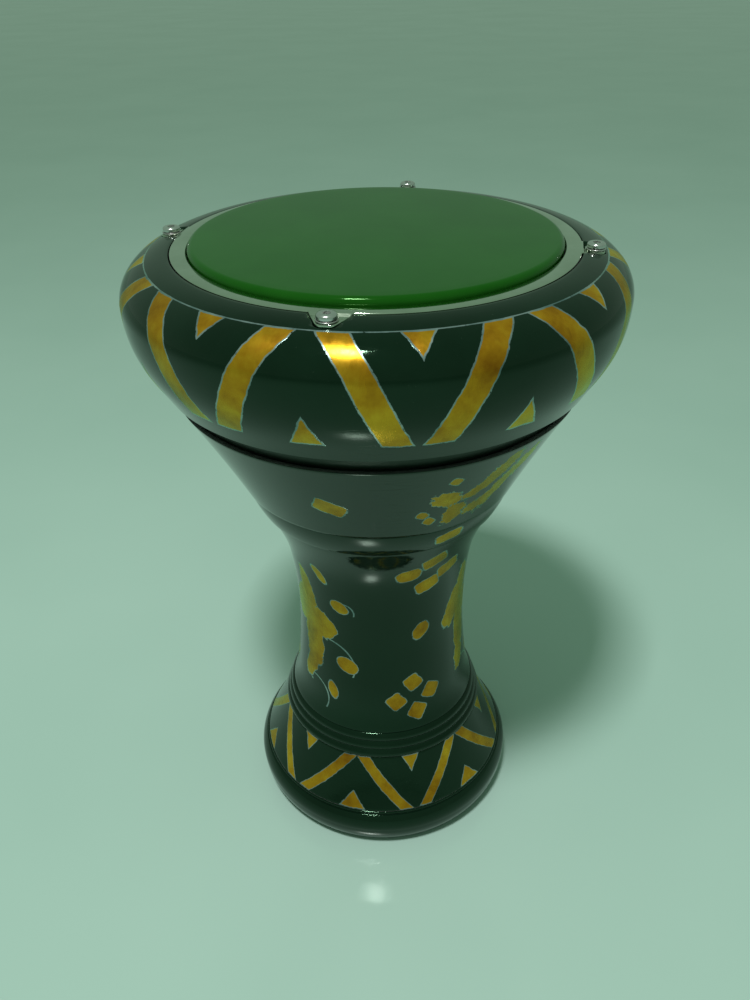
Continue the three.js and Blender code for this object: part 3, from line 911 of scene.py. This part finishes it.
# ---------------------------------------------------------------------------------------
# Foot
# ---------------------------------------------------------------------------------------
def make_foot_rim():
    """A half-round roll that stands on a narrow flat ring, with a groove and a bead above it."""
    roll = FOOT_MAX - FOOT_REST
    inner = FOOT_REST - FOOT_REST_WIDTH
    top = FLARE_LOW - SEAM
    groove = (FLARE_BOTTOM + 2 * RIM_GROOVE, top - RIM_BEAD)
    bead = (FLARE_BOTTOM - RIM_BEAD_SINK, top - RIM_BEAD / 2)
    side = arc((FOOT_REST, FOOT_MAX_HEIGHT), roll, FOOT_MAX_HEIGHT, -90, 0, 20)
    side += bowed((FOOT_MAX, FOOT_MAX_HEIGHT), groove, 0.75 * RIM_ROUND, 16)[1:]
    side += [(groove[0] - RIM_GROOVE, groove[1])]
    side += arc(bead, RIM_BEAD / 2, RIM_BEAD / 2, -30, 90, 10)
    lip = FLARE_BOTTOM - WALL - SEAM
    lip_top = top + RIM_LIP_RISE
    rim = side + [(lip, top), (lip - RIM_LIP_TAPER, lip_top), (lip - RIM_LIP_WALL, lip_top),
                  (inner, FOOT_MAX_HEIGHT), (inner, FOOT_LOW)]
    return turned("rolled_foot_rim", rim, [LACQUER, CASTING], side)


def ridged_outside():
    """The collar's outside: half-round ridges with a narrow groove between them."""
    points = []
    steps = COLLAR_RIDGES * 14
    low, high = FLARE_HIGH + SEAM, NECK_LOW - SEAM
    for i in range(steps + 1):
        share = i / steps
        base = FLARE_TOP + (NECK_BOTTOM - FLARE_TOP) * share
        bump = abs(math.sin(share * COLLAR_RIDGES * math.pi)) ** 0.8
        points.append((base + COLLAR_RIDGE_DEPTH * bump, low + (high - low) * share))
    return points


# ---------------------------------------------------------------------------------------
# Bowl
# ---------------------------------------------------------------------------------------
def make_bowl():
    """The painted bowl: rolled crest, ring channel, shelf for the bearing edge and four bosses."""
    floor = CREST_LEVEL - CHANNEL_DEPTH
    shelf = HEAD_RADIUS - BEARING_SINK - BEARING_WALL
    skin = CHANNEL + WALL
    across = CREST_ROUND - WALL
    edge = bowl_outside[-1][1]
    wall_top = [
        (CHANNEL + 0.25 * CREST_CORNER, edge - 0.2 * CREST_CORNER),
        (CHANNEL, edge - CREST_CORNER),
    ]
    under = [(CHANNEL, floor), (shelf, floor), (shelf, floor - WALL), (skin, floor - WALL)]
    start = angle_at(skin, CREST_CENTRE, across)
    under += arc(CREST_CENTRE, across, CREST_RISE - CREST_WALL, start, 0, 20)
    under += inside_of(bowl_side)[1:]
    lacquered = bowl_outside + wall_top + [(CHANNEL, edge - CREST_WALL)]
    outline = bowl_outside + wall_top + under
    bowl = turned("painted_bowl", outline, [BOWL_PAINT, CASTING], lacquered, round_off=0)
    bore = INSERT_RADIUS + 2 * SEAM
    boss_low = CREST_LEVEL - BOSS_LENGTH
    pocket_low = RING_TOP - EAR_DROP - EAR_THICKNESS - POCKET_DROP
    clear = CREST_LEVEL + WALL
    combined(bowl, rods("bosses", bore + BOSS_WALL, boss_low, CREST_LEVEL - CREST_WALL / 2), "UNION")
    combined(bowl, ears("pockets", POCKET_GAP, pocket_low, clear), "DIFFERENCE")
    combined(bowl, rods("bores", bore, boss_low - WALL, clear), "DIFFERENCE")
    return bowl


def set_on_shell(name, side, closing, paint, node, slot="black_lacquer", round_off=EDGE_ROUND):
    """Turns a section of the shell from its painted side and the rest of its outline."""
    piece = turned(name, side + closing, [paint, CASTING], side, round_off=round_off)
    set_out(piece, "shell", slot, node)


def plain_back(side, thickness):
    """A straight inner side, from end to end of a section that is ribbed or bowed outside."""
    return inside_of([side[0], side[-1]], thickness)


def make_shell():
    """The shell's sections, from the foot up."""
    collar = ridged_outside()
    band = [
        (SHOULDER_TOP - BAND_RECESS, SHOULDER_HIGH - LIP),
        (BOWL_BOTTOM - BAND_RECESS, BOWL_LOW + LIP),
    ]
    set_out(make_foot_rim(), "shell", "black_lacquer", "foot_rim")
    set_on_shell("flared_foot", flare_outside, inside_of(flare_outside), FOOT_PAINT, "foot_flare")
    set_on_shell("ridged_collar", collar, plain_back(collar, WALL + LIP), LACQUER, "foot_collar")
    set_on_shell("waisted_neck", neck_outside, inside_of(neck_outside), NECK_PAINT, "neck_tube")
    set_on_shell("bead_ring", bead_outside, plain_back(bead_outside, WALL + LIP), BEAD_PAINT,
                 "neck_bead", round_off=BEAD_EDGE_ROUND)
    set_on_shell("sloping_shoulder", shoulder_outside, inside_of(shoulder_outside), SHOULDER_PAINT,
                 "shoulder_cone", round_off=SHOULDER_EDGE_ROUND)
    set_on_shell("recessed_band", band, inside_of(band), DULL_LACQUER, "coupling_ring",
                 slot="dull_black_band")
    set_out(make_bowl(), "shell", "black_lacquer", "bowl")


# ---------------------------------------------------------------------------------------
# Bearing edge, head and hoop
# ---------------------------------------------------------------------------------------
def make_bearing_edge():
    """An upright ring on a flange, rounded where the film runs over it."""
    outer = HEAD_RADIUS - BEARING_SINK
    inner = outer - BEARING_WALL
    flange = EDGE_LOW + BEARING_FLANGE
    rounding = HEAD_ROUND - BEARING_SINK
    centre = (outer - rounding, EDGE_HIGH - rounding)
    outline = [(EDGE_BASE, EDGE_LOW), (EDGE_BASE, flange), (outer, flange)]
    outline += arc(centre, rounding, rounding, 0, 90, 12)
    outline += [(inner, EDGE_HIGH), (inner, EDGE_LOW)]
    edge = turned("cast_bearing_edge", outline, [CASTING], round_off=BEARING_EDGE_ROUND)
    set_out(edge, "shell", "cast_edge", "bearing_edge")


def make_head():
    """The film lies flat over the bearing edge, and its skirt runs down into the hoop."""
    centre = (HEAD_RADIUS - HEAD_ROUND, HEAD_TOP - HEAD_ROUND)
    below = centre[1] - SKIRT_START
    skirt = [(HEAD_RADIUS, below), (HEAD_RADIUS, HOOP_HIGH), (HEAD_RADIUS, HEAD_LOW)]
    flat = [(0.0, HEAD_TOP), (HEAD_RADIUS / 2, HEAD_TOP), (centre[0] - FLAT_MARGIN, HEAD_TOP)]
    inner_round = HEAD_ROUND - FILM
    outline = flat + arc(centre, HEAD_ROUND, HEAD_ROUND, 90, 0, 14) + skirt
    outline += [(HEAD_RADIUS - FILM, HEAD_LOW), (HEAD_RADIUS - FILM, HOOP_HIGH)]
    outline += arc(centre, inner_round, inner_round, 0, 90, 14)
    outline += [(HEAD_RADIUS / 2, HEAD_TOP - FILM), (0.0, HEAD_TOP - FILM)]
    film = turned("stretched_head", outline, [BLACK_FILM], round_off=0)
    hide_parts("head_film")
    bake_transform(film)


def make_hoop():
    """The hoop that grips the head's skirt, under the tension ring's leg."""
    inner = HEAD_RADIUS + HOOP_GAP
    outline = [(HOOP_OUTER, HOOP_LOW), (HOOP_OUTER, HOOP_HIGH), (inner, HOOP_HIGH), (inner, HOOP_LOW)]
    hoop = turned("clamping_hoop", outline, [HOOP_METAL], round_off=HOOP_EDGE_ROUND)
    set_out(hoop, "tension_ring", "hoop_metal", "flesh_hoop")


# ---------------------------------------------------------------------------------------
# Tension ring with its ears
# ---------------------------------------------------------------------------------------
def make_ring():
    """A flat ring with a leg that presses on the hoop, and an ear for each bolt."""
    bottom = RING_TOP - RING_THICKNESS
    leg = RING_INNER + RING_LEG_WIDTH
    outline = [(leg, LEG_LOW), (leg, bottom), (RING_OUTER, bottom), (RING_OUTER, RING_TOP),
               (RING_INNER, RING_TOP), (RING_INNER, LEG_LOW)]
    ring = turned("eared_tension_ring", outline, [PLATED_RING], round_off=RING_ROUND)
    plate = ears("ears", 0, RING_TOP - EAR_THICKNESS, RING_TOP, EAR_DROP, EAR_SOFTNESS)
    combined(ring, plate, "UNION")
    combined(ring, rods("ear_holes", HOLE_RADIUS, LEG_LOW, RING_TOP + WALL), "DIFFERENCE")
    set_out(ring, "tension_ring", "polished_ring", "tension_ring")


# ---------------------------------------------------------------------------------------
# Bolts, washers and inserts
# ---------------------------------------------------------------------------------------
def threaded(radius, low, high, depth):
    """A threaded stretch of an outline: one crest and one root for every turn."""
    points = []
    turns = int((high - low) / THREAD_PITCH)
    for i in range(turns):
        level = low + THREAD_PITCH * i
        points.append((radius - depth, level))
        points += [(radius, level + THREAD_PITCH * share) for share in THREAD_CREST]
    return points


def moved_to(bm, angle):
    """Carries a piece drawn on the drum's axis out to the bolt circle."""
    bmesh.ops.translate(bm, verts=bm.verts, vec=(BOLT_CIRCLE, 0, 0))
    turn = Matrix.Rotation(math.radians(angle), 3, "Z")
    bmesh.ops.rotate(bm, verts=bm.verts, cent=(0, 0, 0), matrix=turn)


def cut_socket(bm, opening):
    """Closes the top of a bolt's head with a hexagonal socket and a drilled cone below it."""
    place = Matrix.Translation((0, 0, BOLT_HIGH - SOCKET_SINK))
    corner_radius = SOCKET_ACROSS_FLATS / math.sqrt(3)
    hexagon = bmesh.ops.create_circle(bm, cap_ends=False, segments=6, radius=corner_radius,
                                      matrix=place)["verts"]
    sides = list({e for v in hexagon for e in v.link_edges})
    cuts = SMALL_STEPS // 6 - 1
    split = bmesh.ops.subdivide_edges(bm, edges=sides, cuts=cuts)["geom_split"]
    sides = [item for item in split if isinstance(item, bmesh.types.BMEdge)]
    bmesh.ops.bridge_loops(bm, edges=opening + sides)
    loop = [e for e in sides if e.is_valid]
    walls = bmesh.ops.extrude_edge_only(bm, edges=loop)["geom"]
    bottom = [item for item in walls if isinstance(item, bmesh.types.BMVert)]
    bmesh.ops.translate(bm, verts=bottom, vec=(0, 0, SOCKET_SINK - SOCKET_DEPTH))
    floor_edges = [item for item in walls if isinstance(item, bmesh.types.BMEdge) and item.is_boundary]
    floor_face = bmesh.ops.contextual_create(bm, geom=floor_edges)["faces"]
    cone = bmesh.ops.poke(bm, faces=floor_face)["verts"]
    bmesh.ops.translate(bm, verts=cone, vec=(0, 0, -SOCKET_CONE))


def make_bolt(side, angle):
    """A button-head bolt: a low domed head with a hexagonal socket, and a threaded shank."""
    bm = bmesh.new()
    under = BOLT_HIGH - BOLT_HEAD_HEIGHT
    crown = (HEAD_CROWN_RADIUS, BOLT_HIGH - BOLT_HEAD_DOME)
    outline = [(NEAR_AXIS, BOLT_LOW), (BOLT_RADIUS - BOLT_TIP_CHAMFER, BOLT_LOW)]
    outline += threaded(BOLT_RADIUS, BOLT_LOW + BOLT_TIP_CHAMFER, under - PLAIN_SHANK, THREAD_DEPTH)
    outline += [
        (BOLT_RADIUS, under),
        (BOLT_HEAD_RADIUS - BOLT_HEAD_EDGE, under),
        (BOLT_HEAD_RADIUS, under + BOLT_HEAD_EDGE),
    ]
    outline += arc(crown, BOLT_HEAD_RADIUS - HEAD_CROWN_RADIUS, BOLT_HEAD_DOME, 0, 90, 9)
    verts = [bm.verts.new((radius, 0, height)) for radius, height in outline]
    edges = [bm.edges.new(pair) for pair in zip(verts, verts[1:])]
    bmesh.ops.spin(bm, geom=verts + edges, cent=(0, 0, 0), axis=(0, 0, 1), angle=WHOLE_TURN,
                   steps=SMALL_STEPS, use_merge=True)
    bmesh.ops.remove_doubles(bm, verts=bm.verts, dist=MERGE_GAP)
    cut_socket(bm, [e for e in bm.edges if e.is_boundary])
    bmesh.ops.recalc_face_normals(bm, faces=bm.faces)
    moved_to(bm, angle)
    bolt = to_object(bm, "socket_bolt_" + side, PLATED_BOLT)
    set_out(bolt, "bolt_" + side, "bolt_steel", "tuning_bolt_" + side)


def make_washer(side, angle):
    bm = bmesh.new()
    outline = [
        (WASHER_RADIUS, WASHER_LOW),
        (WASHER_RADIUS, WASHER_HIGH),
        (HOLE_RADIUS, WASHER_HIGH),
        (HOLE_RADIUS, WASHER_LOW),
    ]
    spun(bm, outline, SMALL_STEPS, WASHER_EDGE_ROUND)
    moved_to(bm, angle)
    washer = to_object(bm, "flat_washer_" + side, TURNED_STEEL)
    set_out(washer, "tension_ring", "steel_washer", "washer_" + side)


def make_insert(side, angle):
    """A sleeve with its thread ridged inwards, pressed into a boss of the bowl."""
    bm = bmesh.new()
    low, high = INSERT_LOW + INSERT_CHAMFER, INSERT_HIGH - INSERT_CHAMFER
    thread = threaded(HOLE_RADIUS, low, high, -THREAD_DEPTH / 2)
    mouth = HOLE_RADIUS + INSERT_MOUTH
    outline = [(INSERT_RADIUS, INSERT_LOW), (INSERT_RADIUS, INSERT_HIGH), (mouth, INSERT_HIGH)]
    outline += list(reversed(thread)) + [(mouth, INSERT_LOW)]
    spun(bm, outline, SMALL_STEPS, 0)
    moved_to(bm, angle)
    insert = to_object(bm, "threaded_insert_" + side, TURNED_STEEL)
    set_out(insert, "shell", "steel_insert", "thread_insert_" + side)


make_shell()
make_bearing_edge()
make_head()
make_hoop()
make_ring()
for bolt_side, bolt_angle in SIDES:
    make_bolt(bolt_side, bolt_angle)
    make_washer(bolt_side, bolt_angle)
    make_insert(bolt_side, bolt_angle)


# ---------------------------------------------------------------------------------------
# Camera, floor and light
# ---------------------------------------------------------------------------------------
CAMERA_LENS = 31.03
CAMERA_SIDE = 11.0
CAMERA_PITCH = 33.31
CAMERA_ROLL = 1.11
CAMERA_STAND = (-0.0033, -0.5151, 0.5927)
FLOOR_HALF_WIDTH = 40
FLOOR_DARK = (0.40, 0.58, 0.50)
FLOOR_PALE = (0.44, 0.62, 0.54)
FLOOR_ROUGHNESS = 0.16
LAMP_PLACE = (-0.15, -0.85, 2.4)
LAMP_SIZE = (0.30, 0.30)
LAMP_WATTS = 42
LAMP_TARGET = (0, 0, 0.25)
SKY = (0.60, 0.90, 0.68, 1)
SKY_STRENGTH = 0.36


def make_camera():
    data = bpy.data.cameras.new("camera")
    data.lens = CAMERA_LENS
    camera = bpy.data.objects.new("camera", data)
    bpy.context.scene.collection.objects.link(camera)
    side = Matrix.Rotation(math.radians(CAMERA_SIDE), 4, "Z")
    tilt = Matrix.Rotation(math.radians(90 - CAMERA_PITCH), 4, "X")
    roll = Matrix.Rotation(math.radians(-CAMERA_ROLL), 4, "Z")
    camera.matrix_world = side @ Matrix.Translation(CAMERA_STAND) @ tilt @ roll
    bpy.context.scene.camera = camera


def make_floor():
    bm = bmesh.new()
    bmesh.ops.create_grid(bm, x_segments=2, y_segments=2, size=FLOOR_HALF_WIDTH)
    f = Finish("pale_floor")
    f.link(Base_Color=f.ramp(f.noise(2.5, 3, 0.5), (0.3, FLOOR_DARK), (0.7, FLOOR_PALE)))
    f.set(Roughness=FLOOR_ROUGHNESS)
    to_object(bm, "floor", f.material)


def make_lamp():
    """One soft square lamp, high in front of the drum and aimed at its middle."""
    data = bpy.data.lights.new("ceiling_lamp", "AREA")
    data.shape = "RECTANGLE"
    data.size, data.size_y = LAMP_SIZE
    data.energy = LAMP_WATTS
    lamp = bpy.data.objects.new("ceiling_lamp", data)
    bpy.context.scene.collection.objects.link(lamp)
    lamp.location = LAMP_PLACE
    lamp.rotation_mode = "QUATERNION"
    aim = Vector(LAMP_TARGET) - Vector(LAMP_PLACE)
    lamp.rotation_quaternion = aim.to_track_quat("-Z", "Y")


def make_world():
    world = bpy.data.worlds.new("studio")
    world.use_nodes = True
    background = world.node_tree.nodes["Background"]
    background.inputs["Color"].default_value = SKY
    background.inputs["Strength"].default_value = SKY_STRENGTH
    bpy.context.scene.world = world
    bpy.context.scene.view_settings.view_transform = "Standard"


make_camera()
make_floor()
make_world()
make_lamp()
